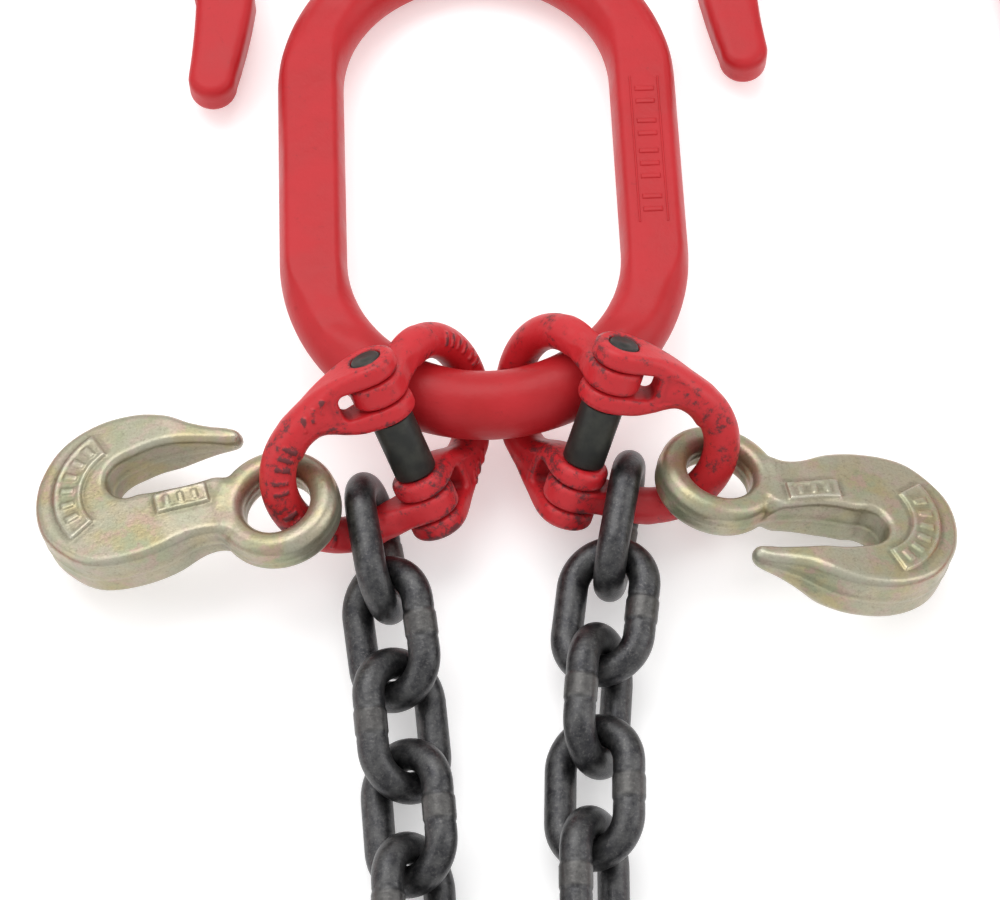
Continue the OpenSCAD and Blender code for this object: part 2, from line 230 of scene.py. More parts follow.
def make_yellow_zinc(name, colour):
    """Yellow chromate over zinc: a pale warm grey metal with faint green and rose bands, dark specks, painted
    shade in its hollows and a painted highlight on its rims.
    """
    made, tree, shader, where = start_material(name)
    bands = between(tree, noise(tree, where, 8, 3, 0.5), 0.36, 0.64)
    tint = mixed(tree, bands, ZINC_STRAW, ZINC_GREEN)
    rose = between(tree, noise(tree, where, 6, 4, 0.6), 0.48, 0.64)
    tint = laid_over(tree, tint, ZINC_ROSE, rose, 0.65)
    pale = between(tree, noise(tree, where, 18, 3, 0.5), 0.4, 0.6)
    tint = laid_over(tree, tint, colour, pale, 0.6)
    # dark specks, then painted shade in the hollows, both mixed towards a dark brown
    soot_and_shade = between(tree, noise(tree, where, 1.6, 5, 0.75), 0.52, 0.74)
    soot_and_shade = plus(tree, times(tree, soot_and_shade, 0.34), times(tree, attribute(tree, "hollow_shade"), 0.55))
    tint = mixed(tree, soot_and_shade, tint, ZINC_SOOT_AND_SHADE)
    grain = between(tree, noise(tree, where, 0.8, 3, 0.7), 0.3, 0.7, 0.0, 0.26)
    tint = mixed(tree, grain, tint, ZINC_GRAIN)
    # painted highlight: a pale colour laid on the convex rims, which are also made less rough
    rim_highlight = attribute(tree, "rim_highlight")
    tint = laid_over(tree, tint, ZINC_PAINTED_HIGHLIGHT, rim_highlight, 0.6)
    tree.links.new(tint, shader.inputs["Base Color"])
    shader.inputs["Metallic"].default_value = 0.68
    rough = maths(tree, "SUBTRACT", between(tree, bands, 0.0, 1.0, 0.3, 0.4), times(tree, rim_highlight, 0.1))
    tree.links.new(rough, shader.inputs["Roughness"])
    skin = plus(tree, noise(tree, where, 1.2, 3, 0.6), times(tree, noise(tree, where, 7, 2), 0.8))
    bump(tree, shader, skin, 0.14, 0.6)
    return made


def make_black_oxide(name, colour):
    """Black oxide on turned steel: a near-black dull film with a low sheen."""
    made, tree, shader, where = start_material(name)
    cloud = between(tree, noise(tree, where, 5, 4), 0.35, 0.7)
    tree.links.new(mixed(tree, cloud, colour, OXIDE_CLOUD), shader.inputs["Base Color"])
    shader.inputs["Metallic"].default_value = 0.55
    shader.inputs["Roughness"].default_value = 0.46
    bump(tree, shader, noise(tree, where, 0.9, 3), 0.06, 0.6)
    return made


# distance fields: negative inside, in mm

def soft_min(a, b, blend):
    step = np.maximum(blend - np.abs(a - b), 0) / blend
    return np.minimum(a, b) - step * step * blend / 4


def soft_max(a, b, blend):
    return -soft_min(-a, -b, blend)


def smooth_step(low, high, value):
    t = np.clip((value - low) / (high - low), 0, 1)
    return t * t * (3 - 2 * t)


def rounded(side, face, edge):
    """A plate with a round edge, from its outline's distance and its distance past the face."""
    a, b = side + edge, face + edge
    return np.minimum(np.maximum(a, b), 0) + np.hypot(np.maximum(a, 0), np.maximum(b, 0)) - edge


def turned(x, y, centre, degrees):
    """Distances along and across a direction in the plane, from a centre."""
    c, s = math.cos(math.radians(degrees)), math.sin(math.radians(degrees))
    dx, dy = x - centre[0], y - centre[1]
    return dx * c + dy * s, dy * c - dx * s


def outline_distance(x, y, loop):
    """Distance to a closed outline in the plane, negative inside it."""
    shape = np.broadcast(x, y).shape
    best, inside = np.full(shape, 1e9), np.zeros(shape, bool)
    for (ax, ay), (bx, by) in zip(loop, np.roll(loop, -1, axis=0)):
        ex, ey = bx - ax, by - ay
        t = np.clip(((x - ax) * ex + (y - ay) * ey) / (ex * ex + ey * ey), 0, 1)
        best = np.minimum(best, (x - ax - t * ex) ** 2 + (y - ay - t * ey) ** 2)
        rise = ey if abs(ey) > 1e-9 else 1e-9
        inside ^= ((ay > y) != (by > y)) & (x < ex * (y - ay) / rise + ax)
    return np.where(inside, -1, 1) * np.sqrt(best)


def smooth_loop(points, steps):
    """A closed spline through the points."""
    p = np.array(points, float)
    before, after, far = np.roll(p, 1, 0), np.roll(p, -1, 0), np.roll(p, -2, 0)
    made = []
    for t in np.arange(steps) / steps:
        second, third = 2 * before - 5 * p + 4 * after - far, 3 * p - before - 3 * after + far
        made.append(0.5 * (2 * p + (after - before) * t + second * t * t + third * t ** 3))
    return np.stack(made, 1).reshape(-1, 2)


def skin_of(field, low, high, cell):
    """Vertices and quads of the surface where the field is zero (surface nets, then projected)."""
    axes = [np.arange(low[k], high[k] + cell, cell) for k in range(3)]
    grids = np.meshgrid(*axes, indexing="ij", sparse=True)
    f = np.broadcast_to(field(*grids), tuple(len(a) for a in axes)).copy()
    f[np.abs(f) < 1e-7] = 1e-7
    inside = f < 0
    cells = tuple(n - 1 for n in f.shape)
    total, count = np.zeros(cells + (3,)), np.zeros(cells, int)
    crossings = []
    for a in range(3):
        lower = tuple(slice(0, -1) if k == a else slice(None) for k in range(3))
        upper = tuple(slice(1, None) if k == a else slice(None) for k in range(3))
        cross = inside[lower] != inside[upper]
        share = np.where(cross, f[lower] / np.where(cross, f[lower] - f[upper], 1), 0)
        place = np.zeros(cross.shape + (3,))
        for k in range(3):
            start = axes[k][:cross.shape[k]].reshape([-1 if m == k else 1 for m in range(3)])
            place[..., k] = start + (share * cell if k == a else 0)
        b, c = (a + 1) % 3, (a + 2) % 3
        for db in (0, 1):
            for dc in (0, 1):
                cut = [slice(None)] * 3
                cut[b] = slice(db, db + cells[b])
                cut[c] = slice(dc, dc + cells[c])
                total += place[tuple(cut)] * cross[tuple(cut)][..., None]
                count += cross[tuple(cut)]
        crossings.append((a, b, c, cross, inside[lower]))
    used = count > 0
    number = np.full(cells, -1)
    number[used] = np.arange(used.sum())
    points = total[used] / count[used][:, None]
    quads = []
    for a, b, c, cross, low_inside in crossings:
        index = np.argwhere(cross)
        at_b, at_c = index[:, b], index[:, c]
        index = index[(at_b > 0) & (at_b < cells[b]) & (at_c > 0) & (at_c < cells[c])]
        corners = []
        for db, dc in ((1, 1), (0, 1), (0, 0), (1, 0)):
            at = index.copy()
            at[:, b] -= db
            at[:, c] -= dc
            corners.append(number[at[:, 0], at[:, 1], at[:, 2]])
        quad = np.stack(corners, 1)
        flip = ~low_inside[index[:, 0], index[:, 1], index[:, 2]]
        quad[flip] = quad[flip][:, ::-1]
        quads.append(quad)
    for _ in range(2):
        value, slope = value_and_slope(field, points, cell * 0.25)
        size = np.maximum((slope ** 2).sum(1), 0.2)
        points = points - np.clip(value / size, -cell * 0.6, cell * 0.6)[:, None] * slope
    return untangled(points, np.concatenate(quads))


def untangled(points, quads):
    """Faces in which two pairs that met at one edge each have an edge of their own."""
    ends = np.stack([quads, np.roll(quads, -1, axis=1)], 2).reshape(-1, 2)
    ordered = np.sort(ends, axis=1)
    _, which, count = np.unique(ordered, axis=0, return_inverse=True, return_counts=True)
    faces, extra = quads.tolist(), []
    for crowded in np.where(count > 2)[0]:
        rows = np.where(which.ravel() == crowded)[0]
        a, b = ordered[rows[0]]
        line = points[b] - points[a]
        line = line / max(np.linalg.norm(line), 1e-9)
        middle = (points[a] + points[b]) / 2
        out = np.array([points[quads[r // 4]].mean(0) - middle for r in rows])
        out -= np.outer(out @ line, line)
        first = out[0] / max(np.linalg.norm(out[0]), 1e-9)
        turn = np.arctan2(out @ np.cross(line, first), out @ first) % (2 * math.pi)
        order = np.argsort(turn)
        gap = np.diff(turn[order], append=turn[order][0] + 2 * math.pi)
        if gap[1] + gap[3] < gap[0] + gap[2]:
            order = np.roll(order, -1)
        for pair in (order[:2], order[2:]):
            extra.append(middle + 0.15 * out[pair].mean(0))
            for r in rows[pair]:
                face = faces[r // 4]
                face.insert(face.index(ends[r][0]) + 1, len(points) + len(extra) - 1)
    if extra:
        points = np.concatenate([points, np.array(extra)])
    return points, faces


def value_and_slope(field, points, step):
    """The field and its slope along x, y and z at the points."""
    slope = [(field(*(points + shift).T) - field(*(points - shift).T)) / (2 * step)
             for shift in step * np.eye(3)]
    return field(*points.T), np.stack(slope, 1)


def bend_of(field, points, reach):
    """How far the surface curves outwards (+) or inwards (-) over a reach in mm."""
    _, slope = value_and_slope(field, points, reach * 0.3)
    normal = slope / np.maximum(np.linalg.norm(slope, axis=1, keepdims=True), 1e-6)
    side = np.cross(normal, np.array([0.31, 0.52, 0.79]))
    side /= np.maximum(np.linalg.norm(side, axis=1, keepdims=True), 1e-6)
    other = np.cross(normal, side)
    total = sum(field(*(points + reach * d).T) for d in (side, -side, other, -other))
    return total / (4 * reach)


# placing pieces

def placed(origin, along, normal):
    """The matrix that takes a piece's own mm to the row's metres: x along, z normal."""
    x = Vector(along).normalized()
    z = Vector(normal)
    z = (z - z.dot(x) * x).normalized()
    y = z.cross(x)
    turn = Matrix((x, y, z)).transposed().to_4x4()
    return Matrix.Translation(Vector(origin)) @ turn @ Matrix.Scale(MM, 4)


def piece_from(name, mesh, matrix, body, slot, *nodes):
    """An object of the mesh, placed in its vertices, riding on a body in place of CAD nodes."""
    own = mesh.copy()
    own.name = name
    own.transform(matrix)
    made = bpy.data.objects.new(name, own)
    bpy.context.scene.collection.objects.link(made)
    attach(made, body)
    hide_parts(*nodes)


def mesh_from(name, points, faces, material, values=None):
    """A smooth-shaded mesh in mm, with optional named values on its points."""
    mesh = bpy.data.meshes.new(name)
    mesh.from_pydata([tuple(p) for p in points], [], [tuple(int(i) for i in f) for f in faces])
    mesh.validate()
    mesh.update()
    mesh.polygons.foreach_set("use_smooth", [True] * len(mesh.polygons))
    for key, numbers in (values or {}).items():
        layer = mesh.attributes.new(key, "FLOAT", "POINT")
        layer.data.foreach_set("value", np.asarray(numbers, np.float32))
    mesh.materials.append(material)
    return mesh


def node_surface(node):
    """Centres and areas of a CAD node's triangles, in metres."""
    mesh = frame["nodes"][node].data
    mesh.calc_loop_triangles()
    co = np.array([v.co for v in mesh.vertices])
    tri = co[np.array([t.vertices for t in mesh.loop_triangles])]
    area = np.linalg.norm(np.cross(tri[:, 1] - tri[:, 0], tri[:, 2] - tri[:, 0]), axis=1) / 2
    return tri.mean(1), area


def ring_frame(node):
    """Centre, long axis and normal of an oval ring node; the weld's bar is on the side of +y."""
    centres, area = node_surface(node)
    middle = (centres * area[:, None]).sum(0) / area.sum()
    spread = (centres - middle).T @ ((centres - middle) * area[:, None])
    _, axes = np.linalg.eigh(spread)
    side, along = axes[:, 1], axes[:, 2]
    x = (centres - middle) @ along
    ends = np.abs(x) > 0.6 * np.abs(x).max()
    y = (centres - middle) @ side
    middle = middle + side * (y[ends] * area[ends]).sum() / area[ends].sum()
    y = (centres - middle) @ side
    bars = np.abs(x) < 0.2 * np.abs(x).max()
    if (y[bars] * area[bars]).sum() < 0:
        side = -side
    return middle, along, np.cross(along, side)


def coupling_frame(body, side):
    """Pin centre, direction to the crown and normal of a coupling half, read off its solid."""
    joint = JOINTS[f"{side}_pin_hinge"]
    centre, pin = np.array(joint["pos_m"]), np.array(joint["axis"])
    pin = pin / np.linalg.norm(pin)
    points, area = node_surface(body)
    far = (points - centre) @ pin
    if far.max() < -far.min():
        pin = -pin
    middle = (points * area[:, None]).sum(0) / area.sum() - centre
    along = middle - middle.dot(pin) * pin
    along = along / np.linalg.norm(along)
    return centre, along, np.cross(along, pin)


def hook_frame(side):
    """Eye centre, direction to the bowl and upper face's normal of a grab hook."""
    eye = np.array(JOINTS[f"{side}_grab_hook_swing"]["pos_m"])
    root = np.array(MOUNTS[f"{side}_grab_hook_slot"]["pos_m"])
    mouth = np.array(MOUNTS[f"{side}_grab_hook_slot"]["axis"])
    normal = -np.cross(root - eye, mouth)
    normal = normal / np.linalg.norm(normal)
    turn = math.atan2(SLOT_ROOT[1], SLOT_ROOT[0])
    towards = (root - eye) / np.linalg.norm(root - eye)
    along = math.cos(turn) * towards - math.sin(turn) * np.cross(normal, towards)
    return eye, along, normal


def j_hook_frame(side):
    """Eye centre, shank direction and normal of a J-hook."""
    eye = np.array(JOINTS[f"{side}_j_hook_swing"]["pos_m"])
    bowl = np.array(MOUNTS[f"{side}_j_hook_bowl"]["pos_m"])
    normal = np.array(MOUNTS[f"{side}_j_hook_bowl"]["axis"])
    turn = math.atan2(-J_BEND, J_RUN)
    towards = (bowl - eye) / np.linalg.norm(bowl - eye)
    along = math.cos(turn) * towards - math.sin(turn) * np.cross(normal, towards)
    return eye, along, normal


# the pieces

RING_TREE = "Oval ring of round stock"
# a ring's inputs, lengths in mm
RING_INPUTS = (
    ("Inside length", "Float", 30.0), ("Inside width", "Float", 14.0),
    ("Stock diameter", "Float", 10.0), ("Weld height", "Float", 0.4),
    ("Weld length", "Float", 8.0), ("Half thickness", "Float", 5.0),
    ("Pressed length", "Float", 10.0), ("Steps", "Int", 192), ("Sides", "Int", 32),
    ("Material", "Material", None))
# a weld's soft ends, and the groove beyond them, as deep as a share of the stock's radius
COLLAR_IN, COLLAR_OUT, GROOVE_OUT, GROOVE_DEPTH = 0.6, 0.4, 0.9, 0.022
# pressed flats: how soft their edge is and where they fade out; where the stock is fuller
PRESS_SOFT, PRESS_TO, PRESS_END = 1.2, 7.0, 3.0
FULLER, FULL_TO, FULL_END = 1.34, 32.0, 14.0
# a half thickness that a chain link never reaches
NOT_PRESSED = 40.0
# how much further the master link's top bend reaches in the photo than in the solids
TOP_REACH = 3.5
# half the length of its flats, and plain raised bars in a shallow frame on its right bar
PRESSED_TO = 66.9
MASTER_BARS = [(x, -55.5, 2.0, 6.5, 0) for x in (-22, -17, -9, -4, 1, 8, 13, 21, 26)]
MASTER_BARS += [(2, rail, 58, 0.8, 0) for rail in (-50.9, -60.1)]
MASTER_BARS_SUNK, MASTER_BARS_HALF, MASTER_BARS_EDGE = 0.2, 0.56, 0.4


def stock_ring_tree():
    """Geometry nodes: an oval ring of round stock, with a weld on one bar or pressed flat faces."""
    tree = bpy.data.node_groups.new(RING_TREE, "GeometryNodeTree")
    ask = tree.interface
    for name, kind, value in RING_INPUTS:
        socket = ask.new_socket(name, in_out="INPUT", socket_type="NodeSocket" + kind)
        if value is not None:
            socket.default_value = value
    ask.new_socket("Geometry", in_out="OUTPUT", socket_type="NodeSocketGeometry")
    given = add(tree, "NodeGroupInput").outputs
    wide = plus(tree, given["Inside width"], given["Stock diameter"])
    long = plus(tree, given["Inside length"], given["Stock diameter"])
    path = add(tree, "GeometryNodeCurvePrimitiveQuadrilateral", {"Width": long, "Height": wide})
    corner = times(tree, wide, 0.4999)
    path = add(tree, "GeometryNodeFilletCurve", {
        "Curve": path.outputs[0], "Count": 40, "Radius": corner, "Limit Radius": True}, mode="POLY")
    path = add(tree, "GeometryNodeResampleCurve", {
        "Curve": path.outputs[0], "Count": given["Steps"]})
    # these are read where they are used: on the path here, on the swept mesh further down
    position = add(tree, "GeometryNodeInputPosition").outputs[0]
    spot = add(tree, "ShaderNodeSeparateXYZ", {0: position}).outputs
    reach = maths(tree, "ABSOLUTE", spot["X"])
    # the weld: a low collar on one bar, with a groove at each of its ends
    half = times(tree, given["Weld length"], 0.5)
    seam = between(tree, reach, maths(tree, "SUBTRACT", half, COLLAR_IN),
                   plus(tree, half, COLLAR_OUT), 1.0, 0.0)
    on_side = maths(tree, "GREATER_THAN", spot["Y"], 0.0)
    seam = times(tree, seam, on_side)
    stock_r = times(tree, given["Stock diameter"], 0.5)
    rise = maths(tree, "DIVIDE", times(tree, seam, given["Weld height"]), stock_r)
    groove_at = maths(tree, "SUBTRACT", reach, plus(tree, half, GROOVE_OUT))
    groove = between(tree, maths(tree, "ABSOLUTE", groove_at), 0.0, GROOVE_OUT, GROOVE_DEPTH, 0.0)
    welded = maths(tree, "GREATER_THAN", given["Weld height"], 0.01)
    groove = times(tree, times(tree, groove, on_side), welded)
    scale = maths(tree, "SUBTRACT", plus(tree, rise, 1.0), groove)
    marked = add(tree, "GeometryNodeStoreNamedAttribute", {
        "Geometry": path.outputs[0], "Name": "weld", "Value": times(tree, seam, welded)},
        data_type="FLOAT", domain="POINT")
    ring = add(tree, "GeometryNodeCurvePrimitiveCircle", {
        "Resolution": given["Sides"], "Radius": stock_r})
    body = add(tree, "GeometryNodeCurveToMesh", {
        "Curve": marked.outputs[0], "Profile Curve": ring.outputs[0], "Scale": scale})
    # the press: height is held at the half thickness where the broad sides are flat
    pressed = given["Pressed length"]
    full = between(tree, reach, maths(tree, "SUBTRACT", pressed, FULL_TO),
                   maths(tree, "SUBTRACT", pressed, FULL_END), FULLER, 1.0)
    high = times(tree, maths(tree, "ABSOLUTE", spot["Z"]), full)
    over = maths(tree, "SMOOTH_MIN", high, given["Half thickness"], PRESS_SOFT)
    signed = times(tree, over, maths(tree, "SIGN", spot["Z"]))
    ends = between(tree, reach, maths(tree, "SUBTRACT", pressed, PRESS_TO),
                   plus(tree, pressed, PRESS_END))
    height = add(tree, "ShaderNodeMix", {0: ends, 2: signed, 3: spot["Z"]},
                 data_type="FLOAT").outputs[0]
    flat = add(tree, "ShaderNodeCombineXYZ", {0: spot["X"], 1: spot["Y"], 2: height})
    for kind, inputs in (
            ("SetPosition", {"Position": flat.outputs[0]}), ("SetShadeSmooth", {}),
            ("RealizeInstances", {}), ("SetMaterial", {"Material": given["Material"]})):
        body = add(tree, "GeometryNode" + kind, {"Geometry": body.outputs[0], **inputs})
    add(tree, "NodeGroupOutput", {"Geometry": body.outputs[0]})
    return tree


def mesh_from_tree(tree, values):
    """The mesh that a geometry node tree makes with these input values."""
    carrier = bpy.data.objects.new("carrier", bpy.data.meshes.new("carrier"))
    bpy.context.scene.collection.objects.link(carrier)
    modifier = carrier.modifiers.new("shape", "NODES")
    modifier.node_group = tree
    for item in tree.interface.items_tree:
        if item.in_out == "INPUT" and item.name in values:
            modifier[item.identifier] = values[item.name]
    graph = bpy.context.evaluated_depsgraph_get()
    graph.update()
    made = bpy.data.meshes.new_from_object(carrier.evaluated_get(graph), depsgraph=graph)
    carrier.modifiers.clear()
    bpy.data.objects.remove(carrier)
    return made


def bar_plan(x, y, bars):
    """Distance in the plane to the nearest bar: centre x, y, length, width, turn in degrees."""
    made = 1e9
    for cx, cy, length, width, turn in bars:
        u, v = turned(x, y, (cx, cy), turn)
        u, v = np.abs(u) - length / 2, np.abs(v) - width / 2
        outside = np.hypot(np.maximum(u, 0), np.maximum(v, 0))
        made = np.minimum(made, outside + np.minimum(np.maximum(u, v), 0))
    return made


# outlines of a coupling half's arms, seen along its normal
WEB_LOOP = smooth_loop((
    (-16, 10.9), (-11, 10.9), (-3, 10.9), (4, 10.9), (10, 11.2), (15, 12.6), (19.4, 14.6),
    (23.2, 15.55), (27.2, 14.2), (31.4, 11.0), (35, 13.6), (38.6, 17.6), (37.8, 21.0),
    (33.6, 23.9), (29.6, 25.6), (24.6, 27.9), (18.6, 30.2), (12, 31.7), (5, 32.35),
    (-3, 32.35), (-11, 32.35), (-16, 32.35)), 4)
ARM_LOOP = smooth_loop((
    (-16, -25.6), (-11, -25.6), (0, -25.6), (8.6, -25.6), (13.5, -26.5), (19.5, -27.35),
    (25, -26.9), (30, -25.2), (33.5, -21.4), (31.6, -12.2), (27, -14.9), (20.2, -16.7),
    (14, -17.1), (8.6, -17.6), (0, -17.6), (-11, -17.6), (-16, -17.6)), 4)
# how far each arm runs out, how much it thins, how round its edge is and gets
WEB_REACH, WEB_THINS, WEB_EDGE, WEB_ROUNDER = 30, 3.1, 2.4, 3.2
ARM_REACH, ARM_THINS, ARM_EDGE, ARM_ROUNDER = 26, 3.25, 1.9, 3.7
PANEL_SUNK, SLOT_EDGE = 0.45, 2.4
SLOT_BLEND, ARM_BLEND, BORE_BLEND = 2.2, 1.2, 0.7
# plain raised bars: on the web as place, length, width and turn; then round the crown
WEB_BARS_AT, WEB_BAR = ((18.6, 26.0), (22.2, 24.6), (25.8, 23.0)), (4.6, 1.5, 108)
CROWN_BAR_ANGLES = (-54, -45, -36, -27, -16, -8, 14, 23, 35, 44, 53)
CROWN_BAR, BAR_RISE, BAR_BLEND = (4.8, 1.4), 0.45, 0.4
# low and high corner of the box that a skin is looked for in
COUPLING_BOX = ((-11, -30, -11.5), (50, 35, 11.5))


def coupling_body(x, y, z):
    """A drop-forged coupling half: x to its crown, y to its fork, z across."""
    # crown: half a ring of round stock, its ends rounded off inside the arms
    around = np.where(x > CROWN_X, np.hypot(x - CROWN_X, y) - CROWN_R, np.abs(y) - CROWN_R)
    short = np.minimum(x - CROWN_X, 0)
    crown = np.sqrt(around ** 2 + short ** 2 * (x < CROWN_X) + z ** 2) - CROWN_STOCK_R
    # web: as wide as the fork at the lugs, running out along the crown
    reach = np.clip(x, 0, WEB_REACH)
    high = np.hypot(x - reach, z) - (LUG_R - WEB_THINS * smooth_step(0, 15, reach))
    flank = outline_distance(x, y, WEB_LOOP)
    fork = rounded(flank, high, WEB_EDGE + WEB_ROUNDER * smooth_step(9, 24, x))
    # the dies leave a shallow sunk panel on each broad side of the web
    sunk = smooth_step(-3.0, -4.4, flank) * smooth_step(14.2, 16.2, x) * smooth_step(34, 26, x)
    fork = fork + PANEL_SUNK * sunk * smooth_step(2.0, 4.0, np.abs(z))
    # slot for the other half's single lug, with a rounded root
    slot = np.abs(y - FORK_IN - FORK_LUG - SLOT_WIDE / 2) - SLOT_WIDE / 2
    slot = rounded(x - SLOT_END, slot, SLOT_EDGE)
    fork = soft_max(fork, -slot, SLOT_BLEND)
    # the other arm: flattened where it leaves the single lug
    reach = np.clip(x, 0, ARM_REACH)
    high = np.hypot(x - reach, z) - (LUG_R - ARM_THINS * smooth_step(0, 13, reach))
    single = rounded(outline_distance(x, y, ARM_LOOP), high,
                     ARM_EDGE + ARM_ROUNDER * smooth_step(10, 20, x))
    body = soft_min(soft_min(crown, fork, ARM_BLEND), single, ARM_BLEND)
    return soft_max(body, -(np.hypot(x, z) - BORE_R), BORE_BLEND)


def coupling_field(x, y, z):
    """The coupling half with plain raised bars on one broad side, which follow its roundness."""
    body = coupling_body(x, y, z)
    marks = [(*at, *WEB_BAR) for at in WEB_BARS_AT]
    for angle in CROWN_BAR_ANGLES:
        c, s = math.cos(math.radians(angle)), math.sin(math.radians(angle))
        marks.append((CROWN_X + CROWN_R * c, CROWN_R * s, *CROWN_BAR, angle))
    raised = soft_max(bar_plan(x, y, marks), body - BAR_RISE, BAR_BLEND)
    return soft_min(body, np.maximum(raised, z), BAR_BLEND)


HOOK_OUTLINE = smooth_loop((
    (10.5, -12.6), (15.9, -9.0), (21.0, -4.4), (26.2, 0.1), (31.5, 4.1), (37.5, 7.6),
    (42.6, 9.9), (46.2, 12.2), (50.4, 12.4), (54.2, 9.8), (55.6, 5.4), (54.2, 1.0),
    (50.5, -3.0), (45.4, -7.4), (37.0, -12.2), (30.0, -15.4), (25.0, -17.2), (22.4, -18.9),
    (22.0, -21.2), (24.2, -22.9), (28.2, -22.7), (33.4, -21.2), (39.3, -20.0), (46.1, -19.9),
    (54.0, -18.4), (61.0, -15.2), (67.0, -10.9), (72.0, -5.2), (75.4, 1.6), (76.6, 9.0),
    (76.0, 17.0), (72.8, 25.2), (67.0, 32.4), (59.0, 36.6), (50.0, 38.6), (42.0, 37.0),
    (33.0, 32.2), (26.2, 26.6), (20.4, 20.0), (15.8, 16.8), (11.0, 15.0), (10.6, 12.0),
    (14.6, 7.0), (16.0, 0.0), (14.5, -7.0)), 4)
HOOK_BOX = ((-23, -25, -10.5), (79, 41, 11.5))
# rounded edges of its plate and eye, the ridge the dies leave, where its point starts
PLATE_EDGE, RING_EDGE, RIDGE_RISE, RIDGE_WIDE = 2.6, 4.1, 0.22, 0.9
POINT_FROM, POINT_TURN = (52, -10), 24
# raised panels: a band round the bowl, its angles in degrees, and a plate on the shank
BAND_AT, BAND_R, BAND_HALF, BAND_MIDDLE, BAND_SPAN = (45.6, 9.2), 20.6, 4.4, 15, 50
MM_PER_DEGREE = 0.36
PLATE_AT, PLATE_TURN, PLATE_HALF = (28.4, 8.3), 36, (8.2, 3.5)
PAD_RISE, PAD_SUNK, PAD_BAR_RISE = 0.8, 0.2, 0.42


def hook_pads(x, y):
    """How high a grab hook's raised panels, their rims and their plain bars stand at x, y."""
    px, py = x - BAND_AT[0], y - BAND_AT[1]
    around, out = np.degrees(np.arctan2(py, px)), np.hypot(px, py)
    aside = np.abs(around - BAND_MIDDLE)
    band = np.maximum(np.abs(out - BAND_R) - BAND_HALF, (aside - BAND_SPAN) * MM_PER_DEGREE)
    u, v = turned(x, y, PLATE_AT, PLATE_TURN)
    plate = np.maximum(np.abs(u) - PLATE_HALF[0], np.abs(v) - PLATE_HALF[1])
    pad = np.minimum(band, plate)
    rise = PAD_RISE * smooth_step(0.5, -0.3, pad) - PAD_SUNK * smooth_step(-0.9, -1.4, pad)
    # bars across the band, then bars across the plate
    ticks = np.abs(np.mod(around + 31.0, 14.5) - 7.25) * MM_PER_DEGREE - 1.1
    ticks = np.maximum(np.maximum(ticks, np.abs(out - BAND_R) - 2.2), aside - 44)
    bars = np.abs(np.mod(u + 6.6, 4.4) - 2.2) - 0.85
    bars = np.maximum(bars, np.maximum(np.abs(v) - 1.9, np.abs(u) - 6.6))
    return rise + PAD_BAR_RISE * smooth_step(0.25, -0.25, np.minimum(ticks, bars))


def hook_field(x, y, z):
    """A forged eye grab hook: eye at the origin, bowl towards x, point towards -y."""
    from_eye = np.hypot(x, y)
    side = outline_distance(x, y, HOOK_OUTLINE)
    half = NECK_HALF + (HOOK_HALF - NECK_HALF) * smooth_step(20, 36, from_eye)
    # the point thins towards its end
    down, _ = turned(x, y, POINT_FROM, POINT_TURN)
    below = smooth_step(-6, -13, y + 0.25 * (x - 40))
    half = half - (HOOK_HALF - POINT_HALF) * smooth_step(-7, -30, down) * below
    face = np.abs(z) - half - np.where(z > 0, hook_pads(x, y), 0)
    plate = rounded(side, face, PLATE_EDGE)
    ring = np.abs(from_eye - (RING_IN + RING_OUT) / 2) - (RING_OUT - RING_IN) / 2
    ring = rounded(ring, np.abs(z) - RING_HALF, RING_EDGE)
    # forging draft leaves a faint ridge round the middle
    ridge = RIDGE_RISE * np.exp(-(z / RIDGE_WIDE) ** 2)
    return soft_min(plate, ring, 2.2) - ridge * smooth_step(-2.5, 0.0, side)


# how far the shank is set out, its neck's radius, its point's lean, taper and rim
J_SET_OUT, J_NECK_R, J_LEAN, J_TAPER, J_RIM = 3.0, 6.6, 2.4, 0.2, 3.3
J_BOX = ((-25, -113, -12), (J_RUN + J_BEND + 13, 24, 12))


def j_hook_field(x, y, z):
    """A forged J-hook: eye at the origin, shank towards x, throat towards -y."""
    eye = np.hypot(np.hypot(x, y) - J_EYE, z) - J_EYE_R
    neck = smooth_step(J_EYE + 36, J_EYE + 2, x)
    # the shank is set a little outwards between its eye and its bend
    set_out = J_SET_OUT * smooth_step(J_RUN + 25, J_RUN - 35, x) * smooth_step(J_EYE, J_EYE + 80, x)
    offset = y - set_out * (y > -J_BEND)
    shank = np.abs(offset) - J_R + (J_R - J_NECK_R) * neck
    bend = np.abs(np.hypot(x - J_RUN, y - set_out + J_BEND) - J_BEND) - J_R
    shank = np.where(x > J_RUN, bend, shank)
    shank = np.where(x < J_EYE + 2, np.hypot(x - J_EYE - 2, offset) - J_NECK_R, shank)
    # the point tapers and leans a little towards the shank
    back = np.clip((J_RUN - x) / J_TIP, 0, 1)
    beyond = np.minimum(x - J_RUN + J_TIP, 0)
    tip = np.hypot(y + 2 * J_BEND - J_LEAN * back ** 2, beyond) - J_R * (1 - J_TAPER * back)
    side = np.where((y < -J_BEND) & (x <= J_RUN), tip, shank)
    # round bar, which the hammer turns flat-sided towards the point
    pressed = smooth_step(-0.6 * J_BEND, -1.7 * J_BEND, y)
    half = J_R - 0.4 - 1.5 * pressed - 1.6 * back * (y < -J_BEND) - 3.2 * neck
    body = rounded(side, np.abs(z) - half, half - (half - J_RIM) * pressed)
    body = soft_min(np.where(x < J_EYE + 60, eye, 1e3), body, 5.0)
    return soft_max(body, -(np.hypot(x, y) - (J_EYE - J_EYE_R)), 0.8)


